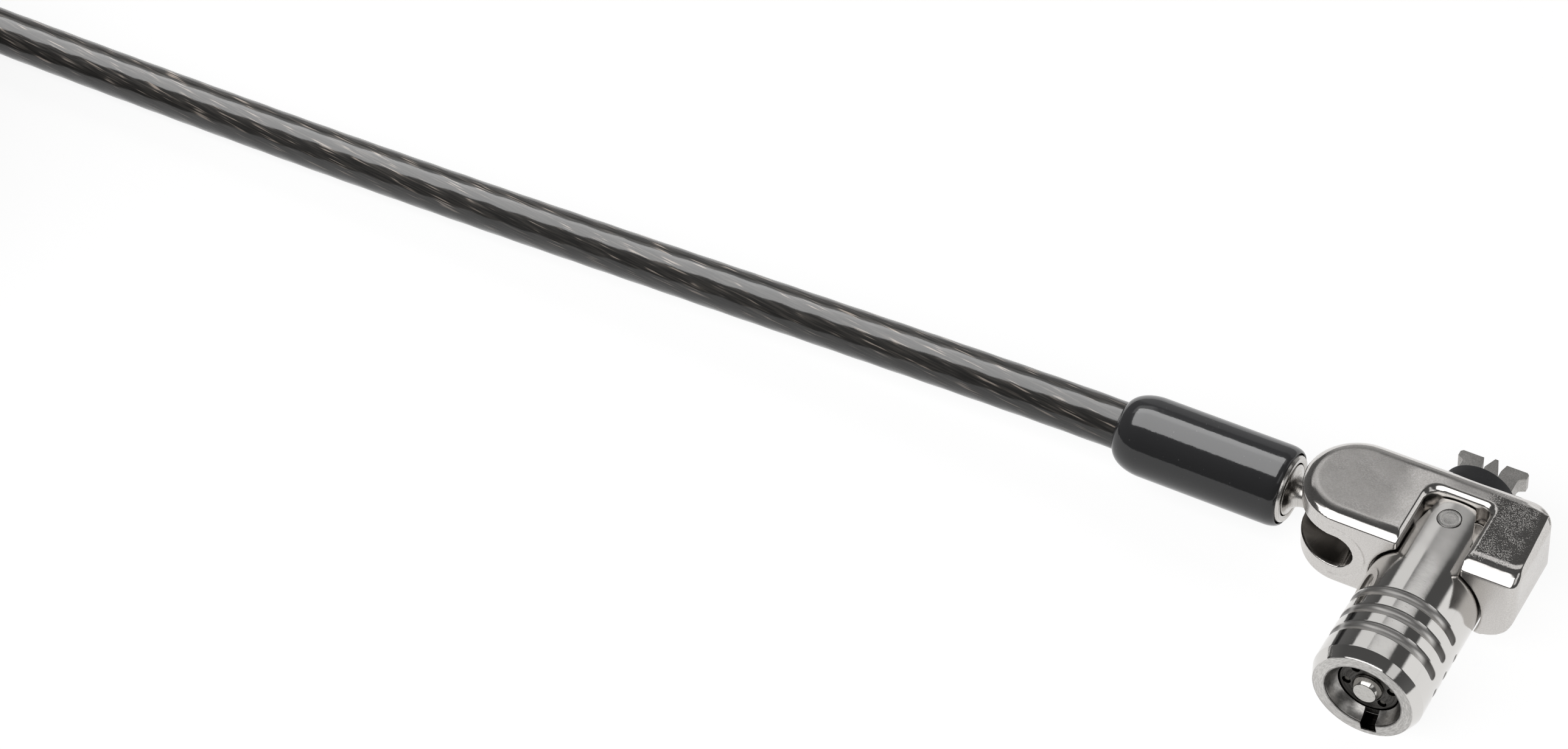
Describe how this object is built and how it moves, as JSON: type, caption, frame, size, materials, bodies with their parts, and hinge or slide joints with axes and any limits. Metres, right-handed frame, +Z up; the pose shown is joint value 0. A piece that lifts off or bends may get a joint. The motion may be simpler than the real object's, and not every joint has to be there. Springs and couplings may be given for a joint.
{
  "type": "laptop cable lock",
  "caption": "Keyed cable lock for a laptop: spreading hooks for a small security slot, swivelling cable end, coated steel cable and a closed anchor loop.",
  "frame": {"origin": "under the middle of the head and boot, on the surface that the barrel rests on", "axes": "+X from the cable towards the head, +Y from the keyhole towards the hooks, +Z up through the top plate"},
  "size_m": [0.2231, 0.0761, 0.0267],
  "materials": {
    "satin_nickel": "satin",
    "polished_nickel": "polished",
    "turned_steel": "satin",
    "sintered_steel": "matte",
    "dark_nickel": "satin",
    "brass": "satin",
    "charcoal_rubber": "matte",
    "gloss_black_plastic": "gloss",
    "smoked_vinyl": "gloss",
    "tie_plastic": "matte"
  },
  "bodies": {
    "lock_head": {"lock_body": "satin_nickel", "mechanism_cover": "satin_nickel", "cover_screw_left": "turned_steel", "cover_screw_right": "turned_steel", "barrel_sleeve": "polished_nickel", "barrel_pin": "turned_steel", "housing_pin": "turned_steel", "tumbler_housing": "dark_nickel", "driver_pin_1": "turned_steel", "driver_pin_2": "turned_steel", "driver_pin_3": "turned_steel", "driver_pin_4": "turned_steel", "driver_pin_5": "turned_steel", "driver_pin_6": "turned_steel", "driver_spring_1": "turned_steel", "driver_spring_2": "turned_steel", "driver_spring_3": "turned_steel", "driver_spring_4": "turned_steel", "driver_spring_5": "turned_steel", "driver_spring_6": "turned_steel", "hook_pin_left": "turned_steel", "hook_pin_right": "turned_steel", "hook_spring_left": "turned_steel", "hook_spring_right": "turned_steel", "bumper_pad": "charcoal_rubber", "pivot_pin": "turned_steel"},
    "key_plug": {"key_plug": "dark_nickel", "center_post": "turned_steel", "drive_spindle": "turned_steel", "spindle_clip": "turned_steel", "key_pin_1": "brass", "key_pin_2": "brass", "key_pin_3": "brass", "key_pin_4": "brass", "key_pin_5": "brass", "key_pin_6": "brass"},
    "spreader": {"spreader_blade": "sintered_steel"},
    "left_hook": {"left_hook": "sintered_steel"},
    "right_hook": {"right_hook": "sintered_steel"},
    "swivel": {"swivel_stud": "turned_steel"},
    "cable": {"crimp_ferrule": "turned_steel", "swivel_ring": "turned_steel", "cable_boot": "gloss_black_plastic", "cable_run": "smoked_vinyl", "cable_coil": "smoked_vinyl", "cable_tie": "tie_plastic", "cable_tail": "smoked_vinyl", "end_loop": "smoked_vinyl", "loop_sleeve": "turned_steel"}
  },
  "joints": [
    {"name": "blade_slide", "type": "slide", "parent": "lock_head", "child": "spreader", "axis": [0, 1, 0], "range_m": [-0.0012, 0]},
    {"name": "key_turn", "type": "hinge", "parent": "lock_head", "child": "key_plug", "pos_m": [0.01128, -0.01238, 0.005], "axis": [0, 1, 0], "range_deg": [0, 90]},
    {"name": "left_hook_swing", "type": "hinge", "parent": "lock_head", "child": "left_hook", "pos_m": [0.00937, 0.00588, 0.00625], "axis": [0, 0, -1], "range_deg": [0, 2]},
    {"name": "right_hook_swing", "type": "hinge", "parent": "lock_head", "child": "right_hook", "pos_m": [0.01317, 0.00588, 0.00625], "axis": [0, 0, 1], "range_deg": [0, 2]},
    {"name": "cable_pivot", "type": "hinge", "parent": "lock_head", "child": "swivel", "pos_m": [0.00272, 0.00332, 0.00625], "axis": [0, 0, 1], "range_deg": [-86, 86]},
    {"name": "cable_swivel", "type": "hinge", "parent": "swivel", "child": "cable", "pos_m": [-0.00302, 0.00332, 0.00625], "axis": [1, 0, 0], "continuous": true}
  ],
  "couplings": [
    {"joint": "key_turn", "follows": "blade_slide", "rad_per_m": -1309},
    {"joint": "left_hook_swing", "follows": "blade_slide", "rad_per_m": -29.089},
    {"joint": "right_hook_swing", "follows": "blade_slide", "rad_per_m": -29.089}
  ]
}
